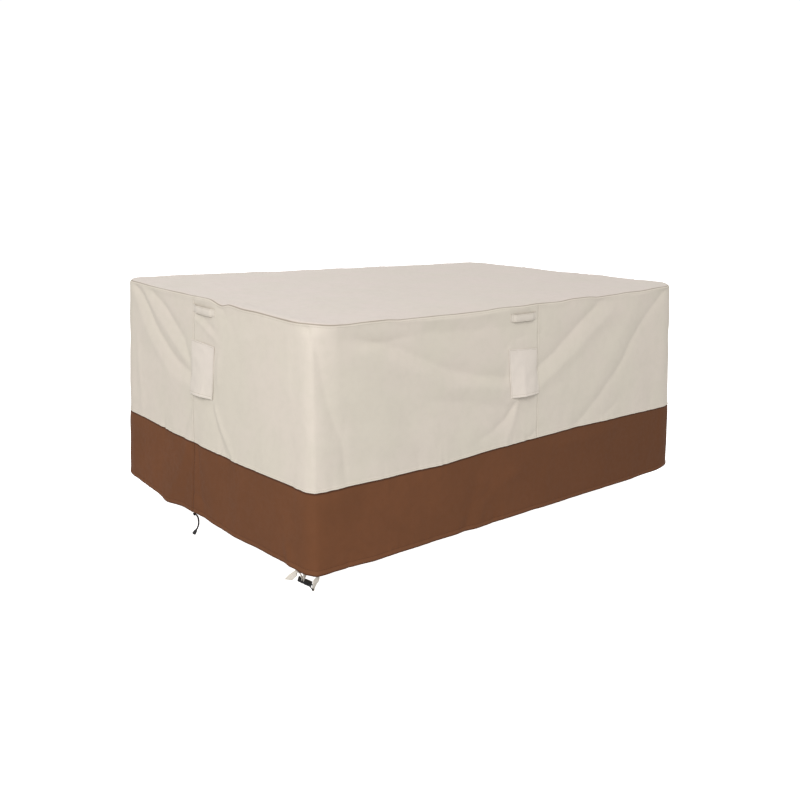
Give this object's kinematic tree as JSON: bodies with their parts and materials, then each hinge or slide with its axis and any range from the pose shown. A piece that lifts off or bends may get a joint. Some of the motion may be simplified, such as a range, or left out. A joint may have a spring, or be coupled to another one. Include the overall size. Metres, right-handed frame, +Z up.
{
  "type": "fitted cloth cover for a patio dining set",
  "caption": "Rectangular fitted cover with beige top and walls, a brown skirt, vent hoods, carry handles, a draw cord and a corner strap with a buckle.",
  "frame": {"origin": "middle of the underside of the top panel, where the cover rests on the furniture", "axes": "+X along the long side towards the right side, +Y towards the back, +Z up"},
  "size_m": [1.844, 1.2015, 0.8025],
  "materials": {
    "beige_cloth": "matt coated weave",
    "brown_cloth": "matt coated weave",
    "webbing": "flat woven webbing",
    "black_cord": "braided",
    "black_plastic": "satin moulded"
  },
  "bodies": {
    "root": {"top_panel": "beige_cloth", "wall_front_left": "beige_cloth", "wall_front_right": "beige_cloth", "wall_back_right": "beige_cloth", "wall_back_left": "beige_cloth", "skirt": "brown_cloth", "vent_hood_front": "beige_cloth", "vent_hood_right": "beige_cloth", "vent_hood_back": "beige_cloth", "vent_hood_left": "beige_cloth", "handle_front": "beige_cloth", "handle_right": "beige_cloth", "handle_back": "beige_cloth", "handle_left": "beige_cloth", "strap_web_long": "webbing", "strap_web_short": "webbing", "buckle_tongue": "black_plastic", "buckle_socket": "black_plastic", "draw_cord": "black_cord", "draw_cord_knot": "black_cord", "draw_cord_end": "black_plastic"}
  },
  "joints": []
}
